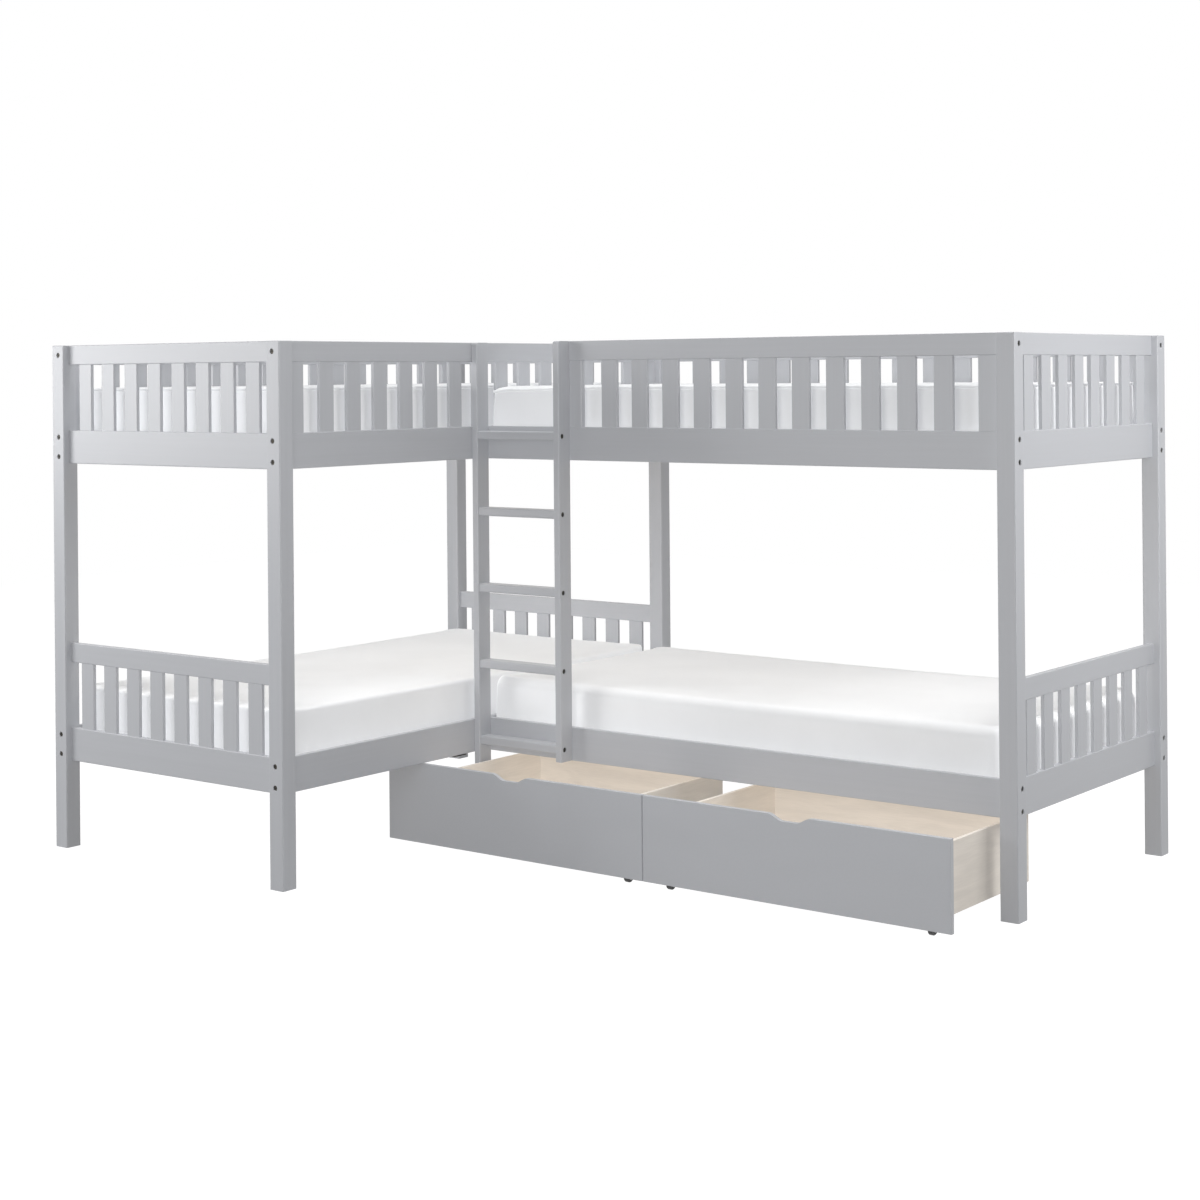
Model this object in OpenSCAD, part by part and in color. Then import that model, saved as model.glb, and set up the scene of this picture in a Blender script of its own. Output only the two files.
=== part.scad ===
// L-shaped bunk bed. Bed A stands crosswise and bed B runs along the wall, and
// both are bunk beds of the same build that share the corner post between them.
// A ladder stands in the inner corner, and two drawers on castors roll under bed B.
// X runs along bed B, Y towards the wall behind it, Z up. The origin is on the
// floor, in the middle of the rectangle that the bed covers.

/* [Overall] */
// Length along the wall, bed A's width and bed B together
overall_x = 3010; // [2700:10:3400]
// Length of bed A, which is also the depth of the whole bed
overall_y = 2007; // [1850:1:2400]
// Width of either bed over its posts
bed_w = 1067; // [900:1:1250]
// Height of the posts
post_h = 1651; // [1450:1:2000]

/* [Posts and rails] */
// Side of a square post
post_w = 57; // [45:1:80]
// Thickness of rails and guard stiles
rail_t = 20; // [16:1:28]
// How far the rails lie behind the posts' outer faces
rail_inset = 21; // [10:1:28]
// Height of the wide rails that carry the decks
wide_rail_h = 109; // [90:1:140]
// Height of the narrow rails on top of the panels
top_rail_h = 64; // [45:1:90]
// Floor to the lower wide rails
low_rail_z = 285; // [240:1:360]
// Opening between a wide rail and the narrow rail above it
slat_open = 215; // [150:1:260]
// Rounding of the posts' edges
post_ease = 4; // [1:0.5:8]
// Rounding of the rails' edges
rail_ease = 3; // [1:0.5:6]

/* [Slats in the panels] */
// Thickness of the slats
slat_t = 12; // [8:1:16]
// How far the slats lie behind the rails' outer faces
slat_inset = 2; // [0:0.5:4]
// Rounding of the slats' edges
slat_ease = 2; // [0.5:0.5:4]
// Width of a slat in the end panels
end_slat_w = 60; // [40:1:80]
// Number of slats in each level of an end panel
end_slat_count = 8; // [5:1:10]
// Width of a slat in the side guards
guard_slat_w = 62; // [40:1:80]
// Distance from one guard slat to the next
guard_pitch = 120; // [100:1:150]
// Width of the upright at either end of a side guard
guard_stile_w = 66; // [50:1:90]

/* [Decks and mattresses] */
// Top of a wide rail down to the top of its deck slats
deck_drop = 62; // [40:1:75]
// Thickness of the deck slats
deck_slat_t = 18; // [12:1:22]
// Width of the deck slats
deck_slat_w = 70; // [50:1:100]
// Largest gap between two deck slats
deck_gap_max = 70; // [50:1:76]
// Height of the cleats under the deck slats
cleat_h = 28; // [20:1:28]
// Width of the cleats
cleat_w = 22; // [16:1:40]
// Play of the deck slats between the rails, at either end
deck_play = 2; // [0.5:0.5:4]
// Distance that deck slats and cleats keep from the posts
post_play = 4; // [1:1:10]
// Thickness of a mattress at its edge
mattress_h = 198; // [120:1:220]
// Rise of a mattress from its edge to its middle
mattress_crown = 9; // [0:1:20]
// Play of a mattress at its long sides
mattress_side_play = 5; // [4:1:10]
// Play of a mattress at its ends
mattress_end_play = 10; // [6:1:20]
// Corner radius of a mattress seen from above
mattress_corner = 64; // [60:1:90]
// How far the middle of a mattress's side is drawn in
mattress_draw = 4; // [0:0.5:8]
// Height of a mattress's lower face above its deck slats
mattress_seat = 0.3; // [0:0.1:1]

/* [Ladder] */
// Width of the ladder over its stiles
ladder_w = 371; // [300:1:450]
// Thickness of a ladder stile
stile_t = 24; // [18:1:30]
// Depth of a ladder stile, front to back
stile_d = 59; // [45:1:80]
// Radius at the top front corner of a stile
stile_round = 12; // [4:1:20]
// Floor to the bottom of the right stile, which stops over the drawers
right_stile_z = 287; // [283:1:300]
// Thickness of a rung
rung_h = 28; // [20:1:35]
// Depth of a rung, front to back
rung_d = 50; // [40:1:55]
// How far a rung's front lies behind the stiles' fronts
rung_inset = 4; // [1:1:8]
// Rounding of the rungs' edges
rung_ease = 5; // [2:0.5:10]
// Distance from rung to rung
rung_pitch = 254; // [220:1:290]
// Height of the top rung's middle above the bottom of the upper rails
rung_top = 79; // [60:1:100]
// Lowest height of a rung's middle above the floor
rung_low_min = 312; // [303:1:400]
// How far bed B's front guard reaches behind the right stile
guard_lap = 18; // [10:1:20]

/* [Bolts and brackets] */
// Diameter of a bolt's head
bolt_head_d = 16; // [10:0.5:18]
// Height of a bolt's head
bolt_head_h = 4; // [3:0.5:6]
// Depth of the head below the post's face
bolt_sink = 3; // [2:0.5:8]
// Depth of the head below the ladder stile's face
ladder_bolt_sink = 2.5; // [1:0.5:5]
// Diameter of a bolt's shank
bolt_d = 6; // [5:0.5:8]
// Depth of a bolt's shank in the end of a rail or rung
bolt_grip = 30; // [20:1:45]
// Half the distance between the two bolts of a wide rail
bolt_spread = 32; // [20:1:40]
// Distance from a ladder stile's front to its bolts
ladder_bolt_y = 18; // [14:1:40]
// Play of a bolt or a barrel nut in its hole, all round
bolt_play = 0.3; // [0.1:0.1:0.6]
// Diameter of the barrel nuts in the side rails
nut_d = 10; // [8:0.5:12]
// Length of a barrel nut
nut_l = 12; // [10:0.5:14]
// Distance of a barrel nut's middle from the end of its rail
nut_depth = 21; // [12:1:24]
// Thickness of a corner bracket
bracket_t = 3; // [2:0.5:4]
// Length of a corner bracket's legs
bracket_leg = 45; // [30:1:60]
// Height of a corner bracket
bracket_h = 46; // [30:1:50]
// Height of the guard's corner bracket above the lower edge of its top rail
guard_bracket_rise = 14; // [3:1:14]
// Diameter of the holes in brackets
bracket_hole_d = 5; // [4:0.5:6]
// Thickness of the plate under bed A's right side rail
foot_plate_t = 3.5; // [2:0.5:4]
// Length of that plate
foot_plate_l = 66; // [40:1:90]
// Distance of that plate's near end in front of the ladder's leg
foot_plate_gap = 34; // [10:1:60]

/* [Drawers] */
// Width of a drawer front
front_w = 1032; // [850:1:1100]
// Height of a drawer front
front_h = 259; // [220:1:260]
// Thickness of a drawer front
front_t = 15; // [12:1:20]
// Floor to the bottom of a drawer front
front_z = 20; // [14:1:20]
// Gap between the two drawer fronts
front_gap = 4; // [2:1:10]
// Gap between the right drawer front and the end post
front_post_gap = 6; // [4:1:30]
// Clearance from a closed drawer front to the ladder
front_ladder_gap = 3; // [2:1:10]
// Rounding round a drawer front's outer face
front_ease = 2; // [0.5:0.5:4]
// Width of the finger notch in a drawer front
notch_w = 148; // [120:1:180]
// Depth of the finger notch
notch_d = 18; // [10:1:30]
// Length of the S-curve at either end of the notch
notch_ogee = 52; // [20:1:58]
// Distance that the drawers stand open
drawer_pull = 220; // [0:1:500]
// Depth of a drawer's box behind its front
box_d = 525; // [450:1:700]
// Thickness of the box's sides and back
box_t = 12; // [9:1:18]
// Floor to the bottom of the box's sides
box_z = 54; // [50:1:70]
// Height of the box's sides
box_h = 202; // [150:1:210]
// Thickness of a drawer's bottom panel
bottom_t = 6; // [4:1:9]
// Height of the bottom panel above the bottom edge of the sides
bottom_rise = 8; // [6:1:15]
// Rounding of the plywood's edges
ply_ease = 1.5; // [0.5:0.5:3]
// Depth of the groove that holds the bottom panel
groove_d = 4; // [2:1:6]
// Clearance from the left drawer's box to the ladder's leg
leg_gap = 12; // [8:1:30]
// Least overhang of a drawer front past its box
overhang_min = 34; // [10:1:60]
// Overhang of the left drawer's front at its right end
left_overhang = 71; // [20:1:120]
// Overhang of the right drawer's front at its left end
right_overhang = 120; // [20:1:160]

/* [Castors] */
// Radius of a castor wheel
wheel_r = 18; // [14:0.5:20]
// Width of a castor wheel
wheel_w = 14; // [10:1:20]
// Height of a wheel's tread ring and thickness of its hub
wheel_wall = 4; // [3:0.5:5]
// Depth of the dish in a wheel's face
dish_d = 2; // [1:0.5:3]
// Rounding of a wheel's tread
tread_r = 2; // [1:0.5:2.5]
// Radius of the axle
axle_r = 3; // [2:0.5:4]
// Running clearance between axle and wheel
axle_play = 0.05; // [0.02:0.01:0.1]
// Clearance between a wheel and the fork's cheeks
cheek_play = 1; // [0.5:0.5:2]
// Thickness of the castors' steel
fork_t = 2; // [1.5:0.5:3]
// Radius of a cheek's round end
cheek_eye = 9; // [8:0.5:11]
// Width of a cheek under a top plate
cheek_top = 28; // [20:1:36]
// Gap between a front wheel and its bracket's plate
plate_gap = 2.5; // [2:0.5:5]
// Floor to the lower edge of a front castor's bracket
bracket_foot = 24; // [22:1:28]
// Clearance between that bracket and the bottom of the box
bracket_head = 2; // [1:1:6]
// Diameter of the screw holes in the castors
screw_hole_d = 4.5; // [3:0.5:5]
// Distance of the screw holes from a plate's edges
screw_edge = 6; // [5:0.5:8]
// Width of a castor's plate
plate_w = 44; // [36:1:60]
// Length of a castor's top plate
plate_l = 46; // [40:1:60]
// Distance of the front castors from the ends of a drawer front
castor_inset = 77; // [60:1:120]
// Distance of a top-plate castor from the outer faces of its box
castor_corner = 34; // [30:1:60]
// Distance of the left drawer's inner front castor behind the front
castor_set_back = 66; // [55:1:120]

/* [Hidden] */

paint = [0.72, 0.73, 0.745];
bare_wood = [0.82, 0.75, 0.66];
ticking = [0.93, 0.93, 0.94];
dark_steel = [0.12, 0.12, 0.13];
castor_steel = [0.30, 0.30, 0.32];
wheel_black = [0.06, 0.06, 0.065];

// Reach of a cutting shape past the face that it cuts
over = 1;

// Outer faces of the two beds, taken over their posts
a_left = -overall_x / 2;
a_right = a_left + bed_w;
b_right = overall_x / 2;
back = overall_y / 2;
a_front = -overall_y / 2;
b_front = back - bed_w;

// Heights of the rails and decks
up_rail_z = post_h - top_rail_h - slat_open - wide_rail_h;
panel_top = wide_rail_h + slat_open;
guard_top_z = up_rail_z + panel_top;
low_deck_z = low_rail_z + wide_rail_h - deck_drop;
up_deck_z = up_rail_z + wide_rail_h - deck_drop;
decks_z = [low_deck_z, up_deck_z];

// Inner faces of the rails, and the side of bed A that bed B butts against
rail_depth = rail_inset + rail_t;
a_side_face = a_right - rail_inset;
clear_w = bed_w - 2 * rail_depth;

// The ladder in the inner corner
ladder_x0 = a_side_face;
ladder_x1 = ladder_x0 + ladder_w;
ladder_back = b_front + rail_inset;
ladder_front = ladder_back - stile_d;
rung_y0 = ladder_front + rung_inset;
rung_top_z = up_rail_z + rung_top;
rung_count = floor((rung_top_z - rung_low_min) / rung_pitch) + 1;
rungs_z = [for (i = [0 : rung_count - 1]) rung_top_z - i * rung_pitch];

// A run is a row of boards between two posts: its direction, the low side of
// its rails across that direction, its start and end, and its outer side
X = 0;
Y = 1;
run_end_a_front = [X, a_front + rail_inset, a_left + post_w, a_right - post_w, -1];
run_end_a_back = [X, back - rail_depth, a_left + post_w, a_right - post_w, 1];
run_end_b = [Y, b_right - rail_depth, b_front + post_w, back - post_w, 1];
run_a_left = [Y, a_left + rail_inset, a_front + post_w, back - post_w, -1];
run_a_right = [Y, a_right - rail_depth, a_front + post_w, back - post_w, 1];
run_b_front = [X, b_front + rail_inset, a_side_face, b_right - post_w, -1];
run_b_front_guard = [X, b_front + rail_inset, ladder_x1 - guard_lap, b_right - post_w, -1];
run_b_back = [X, back - rail_depth, a_right, b_right - post_w, 1];

// Heights of the bolts: one in a narrow rail, two in a wide one
top_bolts = [guard_top_z + top_rail_h / 2];
up_bolts = [for (s = [-1, 1]) up_rail_z + wide_rail_h / 2 + s * bolt_spread];
low_bolts = [for (s = [-1, 1]) low_rail_z + wide_rail_h / 2 + s * bolt_spread];
side_bolts = concat(top_bolts, up_bolts, low_bolts);

// Drawer fronts and boxes: start and end of the front, start and end of the box
front_right_x1 = b_right - post_w - front_post_gap;
front_right_x0 = front_right_x1 - front_w;
front_left_x1 = front_right_x0 - front_gap;
front_left_x0 = front_left_x1 - front_w;
leg_face = ladder_x0 + stile_t + leg_gap;
drawer_left = [front_left_x0, front_left_x1,
    max(leg_face, front_left_x0 + overhang_min), front_left_x1 - left_overhang];
drawer_right = [front_right_x0, front_right_x1,
    front_right_x0 + right_overhang, front_right_x1 - overhang_min];
box_y0 = ladder_front - front_ladder_gap - drawer_pull;
box_y1 = box_y0 + box_d;
bottom_z = box_z + bottom_rise;

// Places of the castors: front brackets, and top plates at the box's corners
bracket_axle_y = box_y0 + fork_t + plate_gap + wheel_r;
inner_axle_y = box_y0 + castor_set_back;
rear_axle_y = box_y1 - castor_corner;
cheek_x = wheel_w / 2 + cheek_play;
block_w = castor_corner + plate_w / 2 - box_t;

// ---------- boards ----------

// A rectangle about its centre with rounded corners
module eased_rect(w, h, r) {
    square([w - 2 * r, h], center = true);
    square([w, h - 2 * r], center = true);
    for (sx = [-1, 1], sy = [-1, 1])
        translate([sx * (w / 2 - r), sy * (h / 2 - r)])
            circle(r, $fn = 24);
}

// A board between two opposite corners, with rounded edges along its length
module board_x(lo, hi, r) {
    s = hi - lo;
    translate([lo.x, (lo.y + hi.y) / 2, (lo.z + hi.z) / 2])
        rotate([90, 0, 90])
            linear_extrude(s.x)
                eased_rect(s.y, s.z, r);
}

module board_y(lo, hi, r) {
    s = hi - lo;
    translate([(lo.x + hi.x) / 2, hi.y, (lo.z + hi.z) / 2])
        rotate([90, 0, 0])
            linear_extrude(s.y)
                eased_rect(s.x, s.z, r);
}

module board_z(lo, hi, r) {
    s = hi - lo;
    translate([(lo.x + hi.x) / 2, (lo.y + hi.y) / 2, lo.z])
        linear_extrude(s.z)
            eased_rect(s.x, s.y, r);
}

// A plain block between two opposite corners
module block(lo, hi) {
    translate(lo)
        cube(hi - lo);
}

// What rounds off an edge along Z at the origin, whose solid lies towards +X and +Y
module edge_cut(len, r) {
    difference() {
        translate([-over, -over, 0])
            cube([r + over, r + over, len]);
        translate([r, r, -over])
            cylinder(h = len + 2 * over, r = r, $fn = 32);
    }
}

// ---------- bolts ----------

// Turns +Z to point along X or Y, forwards or backwards
module point_along(axis, dir) {
    rotate(axis == X ? [0, 90 * dir, 0] : [-90 * dir, 0, 0])
        children();
}

// A bolt along +Z whose head's outer face lies sink below the origin
module bolt(sink, through) {
    difference() {
        translate([0, 0, sink])
            cylinder(h = bolt_head_h, d = bolt_head_d, $fn = 32);
        translate([0, 0, sink - over])
            cylinder(h = bolt_head_h / 2 + over, d = bolt_d * 0.8, $fn = 6);
    }
    translate([0, 0, sink + bolt_head_h])
        cylinder(h = through + bolt_grip - sink - bolt_head_h, d = bolt_d, $fn = 32);
}

// The stepped hole for a bolt
module bolt_hole(sink, through) {
    translate([0, 0, -over])
        cylinder(h = sink + bolt_head_h + over, d = bolt_head_d + 4 * bolt_play, $fn = 32);
    cylinder(h = through + bolt_grip + over, d = bolt_d + 2 * bolt_play, $fn = 32);
}

// Places children at the outer post faces of a run's bolts, pointing inwards.
// end 0 is the start of the run and end 1 its end
module at_run_bolts(run, end, heights) {
    dir = end == 0 ? 1 : -1;
    along = end == 0 ? run[2] - post_w : run[3] + post_w;
    across = run[1] + rail_t / 2;
    for (z = heights)
        translate(run[0] == X ? [along, across, z] : [across, along, z])
            point_along(run[0], dir)
                children();
}

// Places children at the barrel nuts of a run's bolts, pointing to the rail's inner face
module at_run_nuts(run, end, heights) {
    at_run_bolts(run, end, heights)
        translate([0, 0, post_w + nut_depth])
            rotate(run[0] == X ? [90 * run[4], 0, 0] : [0, -90 * run[4], 0])
                children();
}

// A barrel nut across a rail, bored for its bolt
module barrel_nut(axis) {
    difference() {
        cylinder(h = nut_l, d = nut_d, center = true, $fn = 32);
        rotate(axis == X ? [90, 0, 0] : [0, 90, 0])
            cylinder(h = nut_d + 2 * over, d = bolt_d + bolt_play, center = true, $fn = 32);
    }
}

// Places children at the outer stile faces of the ladder's bolts, pointing inwards
module at_ladder_bolts(left) {
    for (z = rungs_z)
        translate([left ? ladder_x0 : ladder_x1, ladder_front + ladder_bolt_y, z])
            point_along(X, left ? 1 : -1)
                children();
}

// ---------- posts ----------

// A post with its low corner at x, y, bored for the bolts at one end of a run
module post(x, y, run, end) {
    color(paint)
        difference() {
            board_z([x, y, 0], [x + post_w, y + post_w, post_h], post_ease);
            at_run_bolts(run, end, side_bolts)
                bolt_hole(bolt_sink, post_w);
            post_top_chamfer(x, y);
        }
}

// What bevels the four top edges of a post
module post_top_chamfer(x, y) {
    bevel = post_ease / 2;
    translate([x + post_w / 2, y + post_w / 2, post_h])
        for (a = [0 : 90 : 270])
            rotate([0, 0, a])
                translate([post_w / 2 - bevel, -post_w, 0])
                    rotate([0, 45, 0])
                        cube([post_w, 2 * post_w, post_w]);
}

// ---------- panels ----------

// A rail of a run. bolted lists the ends that are bored for bolts and their barrel nuts
module rail(run, z, h, bolted = [], heights = []) {
    color(paint)
        difference() {
            if (run[0] == X)
                board_x([run[2], run[1], z], [run[3], run[1] + rail_t, z + h], rail_ease);
            else
                board_y([run[1], run[2], z], [run[1] + rail_t, run[3], z + h], rail_ease);
            for (end = bolted) {
                at_run_bolts(run, end, heights)
                    cylinder(h = post_w + bolt_grip + over, d = bolt_d + 2 * bolt_play, $fn = 32);
                at_run_nuts(run, end, heights)
                    translate([0, 0, -nut_l / 2 - bolt_play])
                        cylinder(h = nut_l / 2 + rail_t / 2 + over, d = nut_d + 2 * bolt_play, $fn = 32);
            }
        }
}

// The four rails that a run can have, from the top down
module top_rail(run, bolted = []) {
    rail(run, guard_top_z, top_rail_h, bolted, top_bolts);
}

module upper_rail(run, bolted = []) {
    rail(run, up_rail_z, wide_rail_h, bolted, up_bolts);
}

module lower_top_rail(run) {
    rail(run, low_rail_z + panel_top, top_rail_h);
}

module lower_rail(run, bolted = []) {
    rail(run, low_rail_z, wide_rail_h, bolted, low_bolts);
}

// An upright of a run, from one height to another, at a distance from its start
module upright(run, at, w, from_z, to_z, low, high, r) {
    along = run[2] + at;
    if (run[0] == X)
        board_z([along, low, from_z], [along + w, high, to_z], r);
    else
        board_z([low, along, from_z], [high, along + w, to_z], r);
}

// One slat of a run above its wide rail
module slat(run, at, w, z) {
    low = run[4] < 0 ? run[1] + slat_inset : run[1] + rail_t - slat_inset - slat_t;
    upright(run, at, w, z, z + slat_open, low, low + slat_t, slat_ease);
}

// Both levels of slats of an end panel, with even gaps between the posts
module end_slats(run) {
    gap = (run[3] - run[2] - end_slat_count * end_slat_w) / (end_slat_count + 1);
    color(paint)
        for (z = [low_rail_z, up_rail_z], i = [0 : end_slat_count - 1])
            slat(run, gap + i * (end_slat_w + gap), end_slat_w, z + wide_rail_h);
}

// The slats of a side guard, centred between its two stiles
module guard_slats(run) {
    length = run[3] - run[2];
    clear = length - 2 * guard_stile_w;
    count = floor(clear / guard_pitch);
    first = (length - (count - 1) * guard_pitch - guard_slat_w) / 2;
    z = up_rail_z + wide_rail_h;
    color(paint) {
        for (i = [0 : count - 1])
            slat(run, first + i * guard_pitch, guard_slat_w, z);
        for (at = [0, length - guard_stile_w])
            upright(run, at, guard_stile_w, z, z + slat_open, run[1], run[1] + rail_t, rail_ease);
    }
}

// ---------- decks ----------

// Evenly spaced deck slats of one bed, along X for bed A and along Y for bed B
module deck(across_x, lo, hi, length_at, z) {
    start = lo + post_play;
    reach = hi - lo - 2 * post_play - deck_slat_w;
    steps = ceil(reach / (deck_slat_w + deck_gap_max));
    for (i = [0 : steps]) {
        at = start + i * reach / steps;
        if (across_x)
            block([length_at, at, z - deck_slat_t],
                  [length_at + clear_w - 2 * deck_play, at + deck_slat_w, z]);
        else
            block([at, length_at, z - deck_slat_t],
                  [at + deck_slat_w, length_at + clear_w - 2 * deck_play, z]);
    }
}

module deck_slats() {
    color(bare_wood)
        for (z = decks_z) {
            deck(true, a_front + post_w, back - post_w, a_left + rail_depth + deck_play, z);
            deck(false, a_right, b_right - post_w, b_front + rail_depth + deck_play, z);
        }
}

// The cleats along the inner faces of the side rails that carry the deck slats
module deck_cleats() {
    color(bare_wood)
        for (z = decks_z - [deck_slat_t + cleat_h, deck_slat_t + cleat_h]) {
            for (x = [a_left + rail_depth, a_right - rail_depth - cleat_w])
                block([x, a_front + post_w + post_play, z],
                      [x + cleat_w, back - post_w - post_play, z + cleat_h]);
            for (y = [b_front + rail_depth, back - rail_depth - cleat_w])
                block([a_right + post_play, y, z],
                      [b_right - post_w - post_play, y + cleat_w, z + cleat_h]);
        }
}

// ---------- mattresses ----------

corner_steps = 5;
side_steps = 8;

// Points of a quarter circle of a mattress's outline
function corner_arc(cx, cy, r, start) =
    [for (i = [0 : corner_steps]) let (a = start + 90 * i / corner_steps)
        [cx + r * cos(a), cy + r * sin(a)]];

// Points between two corners, drawn in towards the middle by up to draw
function drawn_side(p, q, n, draw) =
    [for (i = [1 : side_steps - 1]) let (t = i / side_steps)
        p + (q - p) * t - n * draw * 4 * t * (1 - t)];

// The outline of a mattress of half sizes hx and hy
function outline(hx, hy, r, draw) =
    let (cx = hx - r, cy = hy - r)
    concat(
        corner_arc(cx, cy, r, 0),
        drawn_side([cx, hy], [-cx, hy], [0, 1], draw),
        corner_arc(-cx, cy, r, 90),
        drawn_side([-hx, cy], [-hx, -cy], [-1, 0], draw),
        corner_arc(-cx, -cy, r, 180),
        drawn_side([-cx, -hy], [cx, -hy], [0, -1], draw),
        corner_arc(cx, -cy, r, 270),
        drawn_side([hx, -cy], [hx, cy], [1, 0], draw)
    );

// Sides of a mattress from its lower face to its top: the distance inside the
// outline and the height. The upper mattresses have piped seams, the lower ones
// lie under a smooth sheet
piped_side = [
    [16, 0], [5, 5], [1, 14], [0, 20], [4, 25],
    [1.5, mattress_h * 0.3], [1, mattress_h * 0.5], [1.5, mattress_h * 0.7],
    [4, mattress_h - 25], [0, mattress_h - 20], [1, mattress_h - 14], [6, mattress_h - 5], [18, mattress_h]
];
smooth_side = [
    [16, 0], [6, 4], [1, 14], [0, mattress_h * 0.3], [0, mattress_h * 0.7],
    [1, mattress_h - 22], [4, mattress_h - 10], [10, mattress_h - 3], [20, mattress_h]
];
crown_reach = clear_w / 2 - mattress_side_play - mattress_corner;

// The whole section, with the crown from a side's last point to the middle
function mattress_section(side) =
    let (start = side[len(side) - 1][0])
    concat(side, [for (t = [0.25, 0.5, 0.75, 1])
        [start + (crown_reach - start) * t, mattress_h + mattress_crown * (1 - pow(1 - t, 2))]]);

// A mattress about its centre line, standing on z = 0
module mattress(size_x, size_y, side) {
    section = mattress_section(side);
    rings = [for (s = section)
        let (r = max(mattress_corner - s[0] / 4, 8))
        outline(size_x / 2 - s[0], size_y / 2 - s[0], min(r, size_x / 2 - s[0] - 1, size_y / 2 - s[0] - 1),
            mattress_draw)];
    n = len(rings[0]);
    last = len(rings) - 1;
    points = concat(
        [for (k = [0 : last], p = rings[k]) [p.x, p.y, section[k][1]]],
        [[0, 0, 0], [0, 0, section[last][1]]]);
    foot = (last + 1) * n;
    faces = concat(
        [for (i = [0 : n - 1]) [i, (i + 1) % n, foot]],
        [for (k = [0 : last - 1], i = [0 : n - 1])
            [k * n + i, (k + 1) * n + (i + 1) % n, k * n + (i + 1) % n]],
        [for (k = [0 : last - 1], i = [0 : n - 1])
            [k * n + i, (k + 1) * n + i, (k + 1) * n + (i + 1) % n]],
        [for (i = [0 : n - 1]) [last * n + (i + 1) % n, last * n + i, foot + 1]]);
    color(ticking)
        polyhedron(points, faces);
}

mattress_w = clear_w - 2 * mattress_side_play;
mattress_a_y = overall_y - 2 * rail_depth - 2 * mattress_end_play;
mattress_b_x0 = a_side_face + mattress_end_play;
mattress_b_x1 = b_right - rail_depth - mattress_end_play;

module mattress_a(deck_z, side) {
    translate([a_left + bed_w / 2, 0, deck_z + mattress_seat])
        mattress(mattress_w, mattress_a_y, side);
}

module mattress_b(deck_z, side) {
    translate([(mattress_b_x0 + mattress_b_x1) / 2, b_front + bed_w / 2, deck_z + mattress_seat])
        mattress(mattress_b_x1 - mattress_b_x0, mattress_w, side);
}

// ---------- ladder ----------

// A stile with its top front corner rounded
module stile(x, z, left) {
    color(paint)
        difference() {
            board_z([x, ladder_front, z], [x + stile_t, ladder_back, post_h], rail_ease);
            translate([x - over, ladder_front, post_h])
                rotate([0, 90, 0])
                    edge_cut(stile_t + 2 * over, stile_round);
            at_ladder_bolts(left)
                bolt_hole(ladder_bolt_sink, stile_t);
        }
}

module ladder_rungs() {
    color(paint)
        difference() {
            for (z = rungs_z)
                board_x([ladder_x0 + stile_t, rung_y0, z - rung_h / 2],
                        [ladder_x1 - stile_t, rung_y0 + rung_d, z + rung_h / 2], rung_ease);
            for (left = [true, false])
                at_ladder_bolts(left)
                    cylinder(h = stile_t + bolt_grip + over, d = bolt_d + 2 * bolt_play, $fn = 32);
        }
}

// ---------- bolts and brackets ----------

// A corner bracket in the corner of two faces that look towards +X and dir Y
module bracket(x, y, z, dir, x_leg, y_leg) {
    translate([x, y, z])
        mirror([0, dir < 0 ? 1 : 0, 0])
            difference() {
                union() {
                    cube([x_leg, bracket_t, bracket_h]);
                    cube([bracket_t, y_leg, bracket_h]);
                }
                for (h = [bracket_h / 4, bracket_h * 3 / 4])
                    translate([x_leg * 0.65, -over, h])
                        rotate([-90, 0, 0])
                            cylinder(h = bracket_t + 2 * over, d = bracket_hole_d, $fn = 24);
            }
}

// The bolts at a run's ends with their barrel nuts
module run_bolts(run, ends) {
    for (end = ends) {
        at_run_bolts(run, end, side_bolts)
            bolt(bolt_sink, post_w);
        at_run_nuts(run, end, side_bolts)
            barrel_nut(run[0]);
    }
}

module bolts_and_brackets() {
    rise = wide_rail_h - deck_drop + bracket_t;
    color(dark_steel) {
        for (run = [run_a_left, run_a_right])
            run_bolts(run, [0, 1]);
        for (run = [run_b_front, run_b_back])
            run_bolts(run, [1]);
        for (left = [true, false])
            at_ladder_bolts(left)
                bolt(ladder_bolt_sink, stile_t);
        for (z = [low_rail_z, up_rail_z])
            bracket(a_side_face, b_front + rail_depth, z + rise, 1, bracket_leg, bracket_leg);
        for (z = [low_rail_z + rise, up_rail_z + rise, guard_top_z + guard_bracket_rise])
            bracket(a_right, back - rail_depth, z, -1, bracket_leg, post_w - rail_depth);
        foot_plate();
    }
}

// A steel plate with round ends under bed A's right side rail, in front of the ladder's leg
module foot_plate() {
    half_w = rail_t / 2 - 1;
    near = ladder_front - foot_plate_gap - half_w;
    far = ladder_front - foot_plate_gap - foot_plate_l + half_w;
    x = a_side_face - rail_t / 2;
    difference() {
        translate([0, 0, low_rail_z - foot_plate_t]) {
            block([x - half_w, far, 0], [x + half_w, near, foot_plate_t]);
            for (y = [far, near])
                translate([x, y, 0])
                    cylinder(h = foot_plate_t, r = half_w, $fn = 48);
        }
        for (y = [far, near])
            translate([x, y, low_rail_z - foot_plate_t - over])
                cylinder(h = foot_plate_t + 2 * over, d = bracket_hole_d, $fn = 24);
    }
}

// ---------- drawers ----------

// Upper edge of a drawer front: the finger notch with an S-curve at either end
function notch(cx, top, side) =
    [for (i = [0 : 12]) let (t = side > 0 ? i / 12 : 1 - i / 12)
        [cx + side * (notch_w / 2 - notch_ogee * t), top - notch_d * (1 - cos(180 * t)) / 2]];

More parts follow.
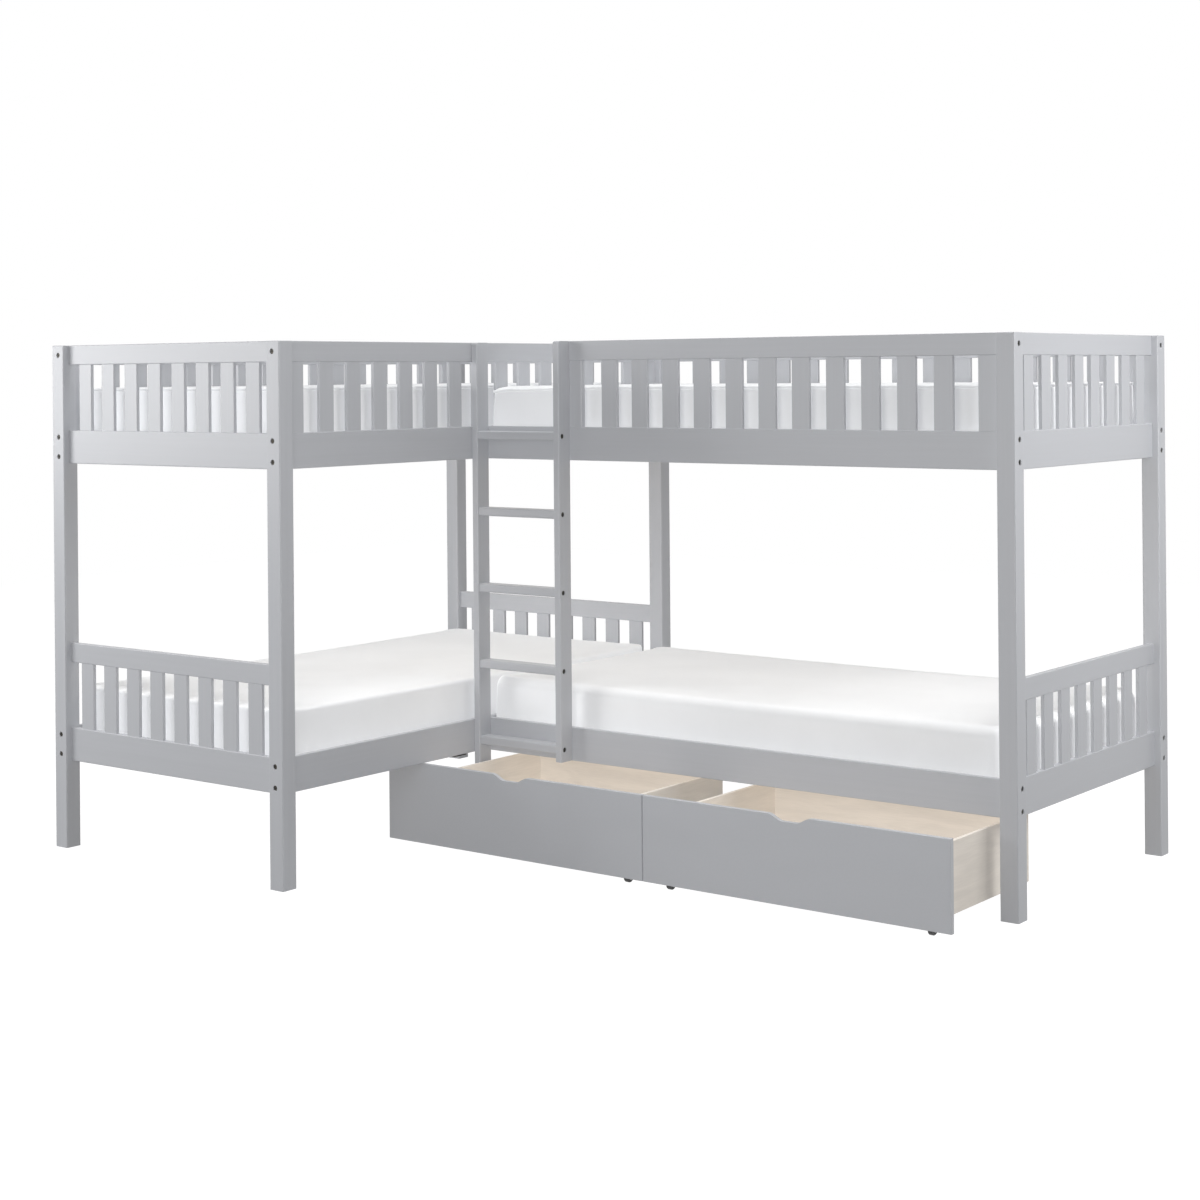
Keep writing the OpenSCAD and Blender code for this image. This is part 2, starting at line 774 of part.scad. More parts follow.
module drawer_front(d) {
    y0 = box_y0 - front_t;
    top = front_z + front_h;
    cx = (d[0] + d[1]) / 2;
    profile = concat([[d[0], front_z], [d[1], front_z], [d[1], top]],
        notch(cx, top, 1), notch(cx, top, -1), [[d[0], top]]);
    color(paint)
        difference() {
            translate([0, box_y0, 0])
                rotate([90, 0, 0])
                    linear_extrude(front_t)
                        polygon(profile);
            translate([d[0], y0, front_z - over])
                edge_cut(front_h + 2 * over, front_ease);
            translate([d[1], y0, front_z - over])
                rotate([0, 0, 90])
                    edge_cut(front_h + 2 * over, front_ease);
            translate([d[0] - over, y0, top])
                rotate([0, 90, 0])
                    edge_cut(front_w + 2 * over, front_ease);
            translate([d[1] + over, y0, front_z])
                rotate([0, -90, 0])
                    edge_cut(front_w + 2 * over, front_ease);
        }
}

// Sides and back of a drawer's box, grooved for the bottom panel, with the
// blocks in its corners that carry the top-plate castors
module drawer_walls(d, front_block) {
    z1 = box_z + box_h;
    color(bare_wood) {
        difference() {
            union() {
                board_y([d[2], box_y0, box_z], [d[2] + box_t, box_y1, z1], ply_ease);
                board_y([d[3] - box_t, box_y0, box_z], [d[3], box_y1, z1], ply_ease);
                board_x([d[2] + box_t, box_y1 - box_t, box_z], [d[3] - box_t, box_y1, z1], ply_ease);
            }
            block([d[2] + box_t - groove_d, box_y0 - over, bottom_z],
                  [d[3] - box_t + groove_d, box_y1 - box_t + groove_d, bottom_z + bottom_t]);
        }
        for (x = [d[2] + box_t, d[3] - box_t - block_w])
            castor_block(x, rear_axle_y + castor_corner - box_t - block_w);
        if (front_block)
            castor_block(d[2] + box_t, inner_axle_y - block_w / 2);
    }
}

module castor_block(x, y) {
    block([x, y, box_z], [x + block_w, y + block_w, bottom_z]);
}

module drawer_bottom(d) {
    color(bare_wood)
        block([d[2] + box_t - groove_d, box_y0, bottom_z],
              [d[3] - box_t + groove_d, box_y1 - box_t + groove_d, bottom_z + bottom_t]);
}

// ---------- castors ----------

// One cheek of a fork in the Y-Z plane: from a plate's edge to a round end at the axle
module cheek(outline_points) {
    rotate([90, 0, 90])
        linear_extrude(fork_t)
            union() {
                polygon(outline_points);
                circle(cheek_eye, $fn = 32);
            }
}

// Both cheeks and the fixed axle with its two heads, about the axle's middle
module fork(outline_points) {
    for (x = [-cheek_x - fork_t, cheek_x])
        translate([x, 0, 0])
            cheek(outline_points);
    rotate([0, 90, 0])
        cylinder(h = 2 * (cheek_x + fork_t), r = axle_r, center = true, $fn = 32);
    for (dir = [-1, 1])
        translate([dir * (cheek_x + fork_t), 0, 0])
            point_along(X, dir)
                cylinder(h = 1.5, r1 = axle_r + 2, r2 = axle_r + 1, $fn = 32);
}

// A castor on a plate that is screwed to the back of a drawer front
module bracket_castor(x) {
    plate_y = box_y0 - bracket_axle_y;
    plate_z = [bracket_foot - wheel_r, box_z - bracket_head - wheel_r];
    difference() {
        translate([x, bracket_axle_y, wheel_r]) {
            fork([[plate_y + fork_t, plate_z[0]], [0, -cheek_eye],
                  [cheek_eye, 0], [plate_y + fork_t, plate_z[1]]]);
            block([-plate_w / 2, plate_y, plate_z[0]], [plate_w / 2, plate_y + fork_t, plate_z[1]]);
        }
        for (s = [-1, 1])
            translate([x + s * (plate_w / 2 - screw_edge), box_y0 - over, (bracket_foot + box_z) / 2])
                rotate([-90, 0, 0])
                    cylinder(h = fork_t + 2 * over, d = screw_hole_d, $fn = 24);
    }
}

// A castor on a plate that is screwed under a corner of the box
module plate_castor(x, y) {
    top = box_z - fork_t - wheel_r;
    difference() {
        translate([x, y, wheel_r]) {
            fork([[-cheek_top / 2, top], [-cheek_eye, 0], [cheek_eye, 0], [cheek_top / 2, top]]);
            block([-plate_w / 2, -plate_l / 2, top], [plate_w / 2, plate_l / 2, top + fork_t]);
        }
        for (sx = [-1, 1], sy = [-1, 1])
            translate([x + sx * (plate_w / 2 - screw_edge), y + sy * (plate_l / 2 - screw_edge),
                       box_z - fork_t - over])
                cylinder(h = fork_t + 2 * over, d = screw_hole_d, $fn = 24);
    }
}

module drawer_castors(d, inner) {
    color(castor_steel) {
        bracket_castor(d[1] - castor_inset);
        if (inner)
            plate_castor(d[2] + castor_corner, inner_axle_y);
        else
            bracket_castor(d[0] + castor_inset);
        for (x = [d[2] + castor_corner, d[3] - castor_corner])
            plate_castor(x, rear_axle_y);
    }
}

// A wheel about its axle's middle: a rounded tread with a dished face round the hub
module wheel() {
    half = wheel_w / 2;
    bore = axle_r + axle_play;
    hub = axle_r + wheel_wall;
    rim = wheel_r - wheel_wall;
    shoulder = wheel_r - tread_r;
    dish = half - dish_d;
    color(wheel_black)
        rotate([0, 90, 0])
            rotate_extrude($fn = 64)
                union() {
                    polygon([[bore, -half], [hub, -half], [hub + 1, -dish], [rim - 1, -dish],
                        [rim, -half], [shoulder, -half], [shoulder, half], [rim, half],
                        [rim - 1, dish], [hub + 1, dish], [hub, half], [bore, half]]);
                    translate([shoulder - 1, tread_r - half])
                        square([tread_r + 1, wheel_w - 2 * tread_r]);
                    for (s = [-1, 1])
                        translate([shoulder, s * (half - tread_r)])
                            circle(tread_r, $fn = 24);
                }
}

module wheels(xs, y) {
    for (x = xs)
        translate([x, y, wheel_r])
            wheel();
}

// ---------- nodes ----------

post(a_left, a_front, run_a_left, 0);  // post_a_front_left
post(a_right - post_w, a_front, run_a_right, 0);  // post_a_front_right
post(a_left, back - post_w, run_a_left, 1);  // post_a_back_left
post(a_right - post_w, back - post_w, run_a_right, 1);  // post_a_back_right
post(b_right - post_w, b_front, run_b_front, 1);  // post_b_front_right
post(b_right - post_w, back - post_w, run_b_back, 1);  // post_b_back_right

top_rail(run_end_a_front);  // end_a_front_upper_top_rail
upper_rail(run_end_a_front);  // end_a_front_upper_rail
lower_top_rail(run_end_a_front);  // end_a_front_lower_top_rail
lower_rail(run_end_a_front);  // end_a_front_lower_rail
end_slats(run_end_a_front);  // end_a_front_slats

top_rail(run_end_a_back);  // end_a_back_upper_top_rail
upper_rail(run_end_a_back);  // end_a_back_upper_rail
lower_top_rail(run_end_a_back);  // end_a_back_lower_top_rail
lower_rail(run_end_a_back);  // end_a_back_lower_rail
end_slats(run_end_a_back);  // end_a_back_slats

top_rail(run_end_b);  // end_b_upper_top_rail
upper_rail(run_end_b);  // end_b_upper_rail
lower_top_rail(run_end_b);  // end_b_lower_top_rail
lower_rail(run_end_b);  // end_b_lower_rail
end_slats(run_end_b);  // end_b_slats

top_rail(run_a_left, [0, 1]);  // guard_a_left_top_rail
guard_slats(run_a_left);  // guard_a_left_slats
upper_rail(run_a_left, [0, 1]);  // side_rail_a_left_upper
lower_rail(run_a_left, [0, 1]);  // side_rail_a_left_lower

top_rail(run_a_right, [0, 1]);  // guard_a_right_top_rail
guard_slats(run_a_right);  // guard_a_right_slats
upper_rail(run_a_right, [0, 1]);  // side_rail_a_right_upper
lower_rail(run_a_right, [0, 1]);  // side_rail_a_right_lower

top_rail(run_b_front_guard, [1]);  // guard_b_front_top_rail
guard_slats(run_b_front_guard);  // guard_b_front_slats
upper_rail(run_b_front, [1]);  // side_rail_b_front_upper
lower_rail(run_b_front, [1]);  // side_rail_b_front_lower

top_rail(run_b_back, [1]);  // guard_b_back_top_rail
guard_slats(run_b_back);  // guard_b_back_slats
upper_rail(run_b_back, [1]);  // side_rail_b_back_upper
lower_rail(run_b_back, [1]);  // side_rail_b_back_lower

stile(ladder_x0, 0, true);  // ladder_left_stile
stile(ladder_x1 - stile_t, right_stile_z, false);  // ladder_right_stile
ladder_rungs();

deck_slats();
deck_cleats();
bolts_and_brackets();

mattress_a(up_deck_z, piped_side);  // mattress_a_upper
mattress_a(low_deck_z, smooth_side);  // mattress_a_lower
mattress_b(up_deck_z, piped_side);  // mattress_b_upper
mattress_b(low_deck_z, smooth_side);  // mattress_b_lower

drawer_front(drawer_left);  // drawer_left_front
drawer_walls(drawer_left, true);  // drawer_left_walls
drawer_bottom(drawer_left);  // drawer_left_bottom
drawer_castors(drawer_left, true);  // drawer_left_castors
wheels([drawer_left[2] + castor_corner], inner_axle_y);  // drawer_left_inner_wheel
wheels([drawer_left[1] - castor_inset], bracket_axle_y);  // drawer_left_outer_wheel
wheels([drawer_left[2] + castor_corner, drawer_left[3] - castor_corner], rear_axle_y);  // drawer_left_rear_wheels

drawer_front(drawer_right);  // drawer_right_front
drawer_walls(drawer_right, false);  // drawer_right_walls
drawer_bottom(drawer_right);  // drawer_right_bottom
drawer_castors(drawer_right, false);  // drawer_right_castors
wheels([drawer_right[0] + castor_inset, drawer_right[1] - castor_inset], bracket_axle_y);  // drawer_right_front_wheels
wheels([drawer_right[2] + castor_corner, drawer_right[3] - castor_corner], rear_axle_y);  // drawer_right_rear_wheels
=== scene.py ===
"""L-shaped bunk bed: finishes, four upholstered mattresses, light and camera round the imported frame."""

import math
from collections import namedtuple

import bmesh
import bpy
from mathutils import Matrix, Vector


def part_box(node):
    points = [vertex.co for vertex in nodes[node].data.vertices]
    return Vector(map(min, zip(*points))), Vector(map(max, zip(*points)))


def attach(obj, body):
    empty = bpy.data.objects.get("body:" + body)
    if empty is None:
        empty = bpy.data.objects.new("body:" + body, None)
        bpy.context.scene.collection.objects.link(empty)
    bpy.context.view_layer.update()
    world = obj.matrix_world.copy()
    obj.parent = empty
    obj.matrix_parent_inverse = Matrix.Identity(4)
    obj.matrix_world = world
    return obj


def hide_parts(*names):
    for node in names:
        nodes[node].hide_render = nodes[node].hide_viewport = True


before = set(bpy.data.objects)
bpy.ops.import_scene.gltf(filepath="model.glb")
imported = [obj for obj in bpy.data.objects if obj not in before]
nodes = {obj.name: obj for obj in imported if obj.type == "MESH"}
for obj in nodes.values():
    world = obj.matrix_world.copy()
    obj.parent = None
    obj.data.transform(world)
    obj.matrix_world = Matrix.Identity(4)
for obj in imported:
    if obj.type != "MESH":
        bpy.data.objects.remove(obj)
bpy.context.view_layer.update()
bpy.ops.object.select_all(action="DESELECT")


def add_object(name, data):
    obj = bpy.data.objects.new(name, data)
    bpy.context.scene.collection.objects.link(obj)
    return obj


# ---------- camera ----------

PHOTO_SIDE = 1200          # the photograph's side in pixels
FOCAL_PIXELS = 2099.8      # focal length in the same pixels
HORIZON_ROW = 374.3        # pixel row of the eye's height
EYE = Vector((4.140, -5.4125, 1.542))
HEADING = 0.6525           # turned left from looking along +Y, in radians
ROLL = -0.00819            # the photograph leans a little
SENSOR = 36.0
CLIP_NEAR, CLIP_FAR = 0.05, 100


def add_camera():
    data = bpy.data.cameras.new("camera")
    data.sensor_width = SENSOR
    data.lens = FOCAL_PIXELS / PHOTO_SIDE * SENSOR
    data.shift_y = -(PHOTO_SIDE / 2 - HORIZON_ROW) / PHOTO_SIDE
    data.clip_start, data.clip_end = CLIP_NEAR, CLIP_FAR
    camera = add_object("camera", data)
    level_right = Vector((math.cos(HEADING), math.sin(HEADING), 0))
    forward = Vector((-math.sin(HEADING), math.cos(HEADING), 0))
    right = level_right * math.cos(ROLL) + Vector((0, 0, 1)) * math.sin(ROLL)
    up = right.cross(forward)
    turn = Matrix((right, up, -forward)).transposed().to_4x4()
    camera.matrix_world = Matrix.Translation(EYE) @ turn
    bpy.context.scene.camera = camera


add_camera()

# ---------- shader arithmetic ----------


class Value:
    """A shader socket that takes part in arithmetic. Each operation adds one Math node."""

    def __init__(self, shading, socket):
        self.shading = shading
        self.socket = socket

    def math(self, operation, *terms):
        settings = {"operation": operation}
        return self.shading.node("ShaderNodeMath", settings, dict(enumerate(terms)))

    def __add__(self, other): return self.math("ADD", self, other)
    def __radd__(self, other): return self.math("ADD", other, self)
    def __sub__(self, other): return self.math("SUBTRACT", self, other)
    def __rsub__(self, other): return self.math("SUBTRACT", other, self)
    def __mul__(self, other): return self.math("MULTIPLY", self, other)
    def __gt__(self, other): return self.math("GREATER_THAN", self, other)
    def larger(self, other): return self.math("MAXIMUM", self, other)
    def sine(self): return self.math("SINE", self)
    def absolute(self): return self.math("ABSOLUTE", self)


class Shading:
    """A node tree that grows by one node per call."""

    def __init__(self, tree):
        self.tree = tree

    def feed(self, socket, value):
        if isinstance(value, Value):
            self.tree.links.new(value.socket, socket)
        else:
            socket.default_value = value

    def node(self, kind, settings=None, inputs=None, output=0):
        made = self.tree.nodes.new(kind)
        for key, value in (settings or {}).items():
            setattr(made, key, value)
        for key, value in (inputs or {}).items():
            self.feed(made.inputs[key], value)
        return Value(self, made.outputs[output])

    def blend(self, amount, a, b):
        """Colour a passing to colour b."""
        return self.node("ShaderNodeMix", {"data_type": "RGBA"}, {0: amount, 6: a, 7: b}, output=2)


class Finish(Shading):
    """A material with a Principled shader. Numbers set on it stay constants on its own sockets."""

    def __init__(self, name, **constants):
        self.material = bpy.data.materials.new(name)
        self.material.use_nodes = True
        super().__init__(self.material.node_tree)
        self.shader = self.tree.nodes["Principled BSDF"]
        self.show(**constants)

    def show(self, **inputs):
        for key, value in inputs.items():
            self.feed(self.shader.inputs[key.replace("_", " ")], value)
        return self.material

    def place(self):
        """The point on the piece, in metres of its own object."""
        return self.node("ShaderNodeTexCoord", output="Object")

    def facing(self):
        return self.node("ShaderNodeTexCoord", output="Normal")

    def axes(self, vector):
        split = self.node("ShaderNodeSeparateXYZ", inputs={0: vector}).socket.node
        return [Value(self, output) for output in split.outputs]

    def vector(self, x, y, z):
        return self.node("ShaderNodeCombineXYZ", inputs={0: x, 1: y, 2: z})

    def stretched(self, vector, scale):
        return self.node("ShaderNodeMapping", inputs={"Vector": vector, "Scale": scale})

    def noise(self, vector, scale=1.0, detail=2.0, roughness=0.5, distortion=0.0):
        return self.node("ShaderNodeTexNoise", inputs={
            "Vector": vector, "Scale": scale, "Detail": detail, "Roughness": roughness,
            "Distortion": distortion})

    def step(self, value, low=0.3, high=0.7):
        """0 below low, 1 above high, and a soft rise between them."""
        return self.node("ShaderNodeMapRange", {"interpolation_type": "SMOOTHSTEP"},
                         {"Value": value, "From Min": low, "From Max": high})

    def choose(self, choice, no, yes):
        """The value yes where the choice is 1, and no where it is 0."""
        return no + (yes - no) * choice

    def shades(self, amount, colour, dark, light):
        """A colour that varies between a darker and a lighter tone of it."""
        return self.blend(amount, tone(colour, dark), tone(colour, light))

    def bump(self, height, strength, distance):
        return self.node("ShaderNodeBump", inputs={
            "Height": height, "Strength": strength, "Distance": distance})


def tone(colour, factor):
    """A colour made lighter or darker."""
    return (colour[0] * factor, colour[1] * factor, colour[2] * factor, 1)


# ---------- finishes ----------

WHITE = (1, 1, 1, 1)
PAINT = (0.403, 0.411, 0.433, 1)
PLYWOOD = (0.715, 0.662, 0.598, 1)
PINE = (0.68, 0.585, 0.46, 1)
KNOT = (0.22, 0.11, 0.05, 1)
OXIDE, OXIDE_WORN = (0.022, 0.022, 0.02, 1), (0.06, 0.053, 0.042, 1)
ZINC_DULL, ZINC_BRIGHT = (0.46, 0.47, 0.49, 1), (0.66, 0.67, 0.68, 1)
NYLON, NYLON_SCUFFED = (0.016, 0.016, 0.017, 1), (0.05, 0.05, 0.05, 1)
CLOTH = (0.885, 0.893, 0.905, 1)

# Marks per metre along the wood and across it
GRAIN = (1.6, 90)          # grain that shows through the paint
BRUSH = (5, 520)           # the brush's lines
DRIFT = (1.1, 7)           # slow drift of the paint's tone
FIGURE = (1.8, 14)         # the birch's wavy figure
PORES = (22, 420)
CLOUDS = (1.3, 3)

BOARD_DRIFT = (2.2, 7, 7)  # marks per metre in X, Y and Z
DRAWN_LINES = (900, 900, 60)
PAINT_COAT = {"Coat_Weight": 0.12, "Coat_Roughness": 0.3}
PLY_PAIR = 0.0036          # a light and a dark ply together
RING_TURN = 520            # radians of ring per metre across the pine
RING_SLANT = 0.6           # the same through its thickness, as a share
RING_WAVE = 26             # radians by which the rings wander
KNOT_EDGE = (0.03, 0.10)
PIPING_HIGHLIGHT_TONE = 1.04         # lighter than the cover: a painted highlight on the piping
PERCALE_THREAD = 0.0011    # pitch of the weave
PIPING_THREAD = 0.0008


def along_axis(axis, marks):
    """Texture scale of marks that run along X, Y or Z."""
    along, across = marks
    return tuple(along if name == axis else across for name in "XYZ")


def painted_wood(axis):
    """Satin grey paint: the wood's grain shows faintly through it, with brush lines and drifts of tone."""
    f = Finish("satin_paint_" + axis.lower(), **PAINT_COAT)
    at = f.place()
    grain = f.noise(f.stretched(at, along_axis(axis, GRAIN)), detail=5, roughness=0.62, distortion=0.35)
    brush = f.noise(f.stretched(at, along_axis(axis, BRUSH)))
    drift = f.noise(f.stretched(at, along_axis(axis, DRIFT)))
    peel = f.noise(at, scale=260, detail=1)
    shade = f.step(grain) * 0.5 + f.step(brush) * 0.2 + f.step(drift) * 0.3
    colour = f.shades(shade, PAINT, dark=0.972, light=1.024)
    height = grain * 0.5 + brush * 0.25 + peel * 0.25
    return f.show(Base_Color=colour, Roughness=0.4 + shade * 0.08,
                  Normal=f.bump(height, strength=0.14, distance=0.0005))


def lit_painted_board():
    """The drawers' fronts: the same paint rolled on flat board, with fine orange peel. Its tone is lighter
    than the other paint's: painted light on the drawers' fronts.
    """
    f = Finish("satin_paint_board_lit", **PAINT_COAT)
    at = f.place()
    roller = f.noise(at, scale=150, detail=3, roughness=0.6)
    drift = f.noise(f.stretched(at, BOARD_DRIFT))
    shade = f.step(roller) * 0.45 + f.step(drift) * 0.55
    # painted light: a lighter copy of the paint, standing in for more light on the drawers' fronts
    colour = f.shades(shade, PAINT, dark=1.02, light=1.065)
    return f.show(Base_Color=colour, Roughness=0.42 + shade * 0.08,
                  Normal=f.bump(roller, strength=0.12, distance=0.0004))


def veneer(f, along, across, through):
    """Rotary-cut birch: long wavy figure with fine pores. Returns its colour and its bump."""

    def marks(rates, **noise):
        return f.noise(f.vector(along * rates[0], across * rates[1], through * rates[1]), **noise)

    figure = marks(FIGURE, detail=3, roughness=0.55, distortion=1.6)
    pores = marks(PORES)
    cloud = marks(CLOUDS, detail=1)
    mark = f.step(figure, 0.32, 0.68) * 0.55 + f.step(pores, 0.35, 0.65) * 0.2 + cloud * 0.25
    colour = f.shades(mark, PLYWOOD, dark=0.9, light=1.07)
    return colour, f.bump(pores * 0.6 + figure * 0.4, strength=0.18, distance=0.0005)


def plywood(name, back_from):
    """Lacquered birch plywood. Sides have their grain along Y and the back, past back_from, along X;
    the upper edges show the plies as thin lines, painted lighter than the faces as a highlight from above."""
    f = Finish(name, Roughness=0.45, Coat_Weight=0.1, Coat_Roughness=0.35)
    x, y, z = f.axes(f.place())
    facing_y, facing_z = [axis.absolute() for axis in f.axes(f.facing())[1:]]
    along = f.choose(facing_y > 0.5, y, x)
    colour, bumps = veneer(f, along, z, x + y - along)
    depth = f.choose(y > back_from, x, y)
    ply = f.step((depth * (2 * math.pi / PLY_PAIR)).sine(), -0.5, 0.5)
    # the plies' lines are the wood's own; their tone, lighter than the faces', is a painted highlight
    edge = f.shades(ply, PLYWOOD, dark=0.96, light=1.18)
    return f.show(Base_Color=f.blend(facing_z > 0.5, colour, edge), Normal=bumps)


def plywood_panel():
    """The drawers' bottom panels, with their grain along X."""
    f = Finish("birch_ply_bottom", Roughness=0.5)
    colour, bumps = veneer(f, *f.axes(f.place()))
    return f.show(Base_Color=colour, Normal=bumps)


def pine(name, border, swapped=False):
    """Planed pine with knots. The boards run along X left of the border and along Y right of it, or the
    other way round where they are swapped."""
    f = Finish(name, Roughness=0.6)
    x, y, z = f.axes(f.place())
    right = x > border
    if swapped:
        right = 1 - right
    along = f.choose(right, x, y)
    across = f.choose(right, y, x)
    board = f.noise(f.vector(along * 0.2, across * 9, z * 3), detail=0)
    wave = f.noise(f.vector(along * 2.2, across * 10, z * 10), distortion=0.8)
    rings = f.step(((across + z * RING_SLANT) * RING_TURN + wave * RING_WAVE).sine(), -0.6, 1.0)
    knot_at = f.vector(along * 3.2, across * 11, z * 0.5)
    knot = f.node("ShaderNodeTexVoronoi", inputs={"Vector": knot_at, "Scale": 1.0})
    in_knot = 1 - f.step(knot, *KNOT_EDGE)
    shade = rings * 0.35 + board * 0.45 + wave * 0.2
    wood = f.shades(shade, PINE, dark=0.82, light=1.12)
    return f.show(Base_Color=f.blend(in_knot * 0.75, wood, KNOT),
                  Normal=f.bump(rings, strength=0.12, distance=0.0004))


def black_oxide():
    """Bolts and brackets: oiled black oxide, worn a little browner in patches."""
    f = Finish("black_oxide", Metallic=0.75)
    patch = f.step(f.noise(f.place(), scale=180, detail=3), 0.4, 0.65)
    return f.show(Base_Color=f.blend(patch, OXIDE, OXIDE_WORN), Roughness=0.34 + patch * 0.2)


def zinc():
    """Pressed castor steel with bright zinc: fine drawn lines and cloudy patches."""
    f = Finish("zinc_plate", Metallic=1.0)
    at = f.place()
    cloud = f.noise(at, scale=60, detail=4)
    lines = f.noise(f.stretched(at, DRAWN_LINES), detail=1)
    colour = f.blend(f.step(cloud), ZINC_DULL, ZINC_BRIGHT)
    return f.show(Base_Color=colour, Roughness=0.3 + cloud * 0.2,
                  Normal=f.bump(lines, strength=0.15, distance=0.0002))


def nylon():
    """Black moulded wheels with a scuffed tread."""
    f = Finish("black_nylon")
    at = f.place()
    scuff = f.step(f.noise(at, scale=240, detail=4, roughness=0.7), 0.5, 0.75)
    grain = f.noise(at, scale=900, detail=1)
    colour = f.blend(scuff, NYLON, NYLON_SCUFFED)
    return f.show(Base_Color=colour, Roughness=0.42 + scuff * 0.25,
                  Normal=f.bump(grain, strength=0.1, distance=0.0002))


def cotton(name, colour, thread):
    """White percale: a plain weave, with the thread's pitch in metres, over soft uneven tone."""
    f = Finish(name, Roughness=0.86, Sheen_Weight=0.18, Sheen_Roughness=0.5)
    at = f.place()
    x, y, z = f.axes(at)
    turn = 2 * math.pi / thread
    weave = (x * turn).sine() + (y * turn).sine() + (z * turn).sine()
    slub = f.noise(at, scale=70, detail=3)
    soft = f.noise(at, scale=5)
    shade = f.step(soft) * 0.6 + slub * 0.4
    return f.show(Base_Color=f.shades(shade, colour, dark=0.975, light=1.015),
                  Normal=f.bump(weave * 0.12 + slub * 0.8, strength=0.25, distance=0.0006))


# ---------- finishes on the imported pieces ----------

PAINTED = ("post_", "end_", "guard_", "side_rail_", "ladder_")
UPRIGHT = ("slats", "stile")  # endings of the names of upright pieces other than posts
RUN_X = ("end_a_front", "end_a_back", "side_rail_b", "guard_b_front_top_rail", "guard_b_back_top_rail",
         "ladder_rungs")   # pieces along X; what is neither here nor upright runs along Y
WALL = 0.012               # thickness of the drawers' walls
RAIL = 0.020               # thickness of the side rails


def grain_axis(name):
    if name.startswith("post_") or name.endswith(UPRIGHT):
        return "Z"
    return "X" if name.startswith(RUN_X) else "Y"


def dress(name, material):
    data = nodes[name].data
    data.materials.clear()
    data.materials.append(material)


def dress_frame():
    paints = {axis: painted_wood(axis) for axis in "XYZ"}
    lit_board_paint = lit_painted_board()
    bright_zinc = zinc()
    wheel_nylon = nylon()
    for name in nodes:
        if name.startswith(PAINTED):
            dress(name, paints[grain_axis(name)])
        elif name.endswith("_front"):
            # the drawers' fronts get the lighter copy of the paint, which is painted light
            dress(name, lit_board_paint)
        elif name.endswith("castors"):
            dress(name, bright_zinc)
        elif "wheel" in name:
            dress(name, wheel_nylon)
    dress("bolts_and_brackets", black_oxide())
    ply_bottom = plywood_panel()
    for side in ("left", "right"):
        walls = f"drawer_{side}_walls"
        dress(walls, plywood(f"birch_ply_{side}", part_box(walls)[1].y - WALL))
        dress(f"drawer_{side}_bottom", ply_bottom)
    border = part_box("post_a_front_right")[1].x - RAIL
    dress("deck_slats", pine("pine_slats", border))
    dress("deck_cleats", pine("pine_cleats", border, swapped=True))


dress_frame()

# ---------- modelling helpers ----------


def select_only(obj):
    bpy.ops.object.select_all(action="DESELECT")
    obj.select_set(True)
    bpy.context.view_layer.objects.active = obj


def finish_piece(obj, name, material):
    """Names a soft piece, puts its place into its mesh, and gives it its finish, body and slot."""
    obj.name = obj.data.name = name
    select_only(obj)
    bpy.ops.object.transform_apply(location=True, rotation=True, scale=True)
    bpy.ops.object.shade_smooth()
    obj.vertex_groups.clear()
    obj.data.materials.clear()
    obj.data.materials.append(material)
    obj.select_set(False)
    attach(obj, "frame")


def bevel_edges(obj, wanted, radius, segments):
    """Rounds the edges whose two ends pass the test, if there are any."""
    bpy.context.view_layer.objects.active = obj
    bpy.ops.object.mode_set(mode="EDIT")
    bpy.ops.mesh.select_mode(type="EDGE")
    bpy.ops.mesh.select_all(action="DESELECT")
    mesh = bmesh.from_edit_mesh(obj.data)
    chosen = [edge for edge in mesh.edges if wanted(edge.verts[0].co, edge.verts[1].co)]
    for edge in chosen:
        edge.select_set(True)
    bmesh.update_edit_mesh(obj.data)
    if chosen:
        bpy.ops.mesh.bevel(offset=radius, segments=segments)
    bpy.ops.object.mode_set(mode="OBJECT")


# ---------- mattresses ----------

CORNER = 0.064             # corner radius seen from above, beside a post
SQUARE_CORNER = 0.008      # and where no post stands
CORNER_STEPS = 6
EDGE_STEPS = 4
TUCK = 0.007               # how much nearer bed B's covers come to bed A's side than their CAD solids
VOXEL = 0.016
LEVEL = 1e-4               # an edge rises by less than this where it lies level
SWELL_ROOM = 0.006         # the blank is smaller by this at its sides, and the cover swells into it
SWELL_CAP = 0.007
STILL = 1e-6               # a vertex that moves less than this hasn't moved
HELD = 0.011               # height of the lowest part of the cover, which the deck holds
PRESSURE = 4
SLACK = -0.035             # negative shrinking: the cloth is larger than the blank, so it wrinkles
BENDING = 0.35
CLOTH_QUALITY = 4
CLOTH_FRAMES = 20
CROWN_POWER = 4            # the crown is flat in the middle and falls off near the sides
SLANT = Vector((0, 0.5, -0.8)).normalized()    # direction of the folds in bed A's lower mattress
FRONT_FOLD_DEPTH = 0.09    # of the folds' middles in bed B's lower mattress, under its top
CORD = 0.0044              # radius of the piping
CORD_RISE = 0.020          # height of the lower piping's middle above the deck
CORD_CUT = 0.045           # depth under the top edge at which the upper piping takes the side's outline

Fold = namedtuple("Fold", "middle direction half_length half_width height")
Droop = namedtuple("Droop", "middle reach depth")


def seen_from_above(point):
    return Vector((point[0], point[1]))


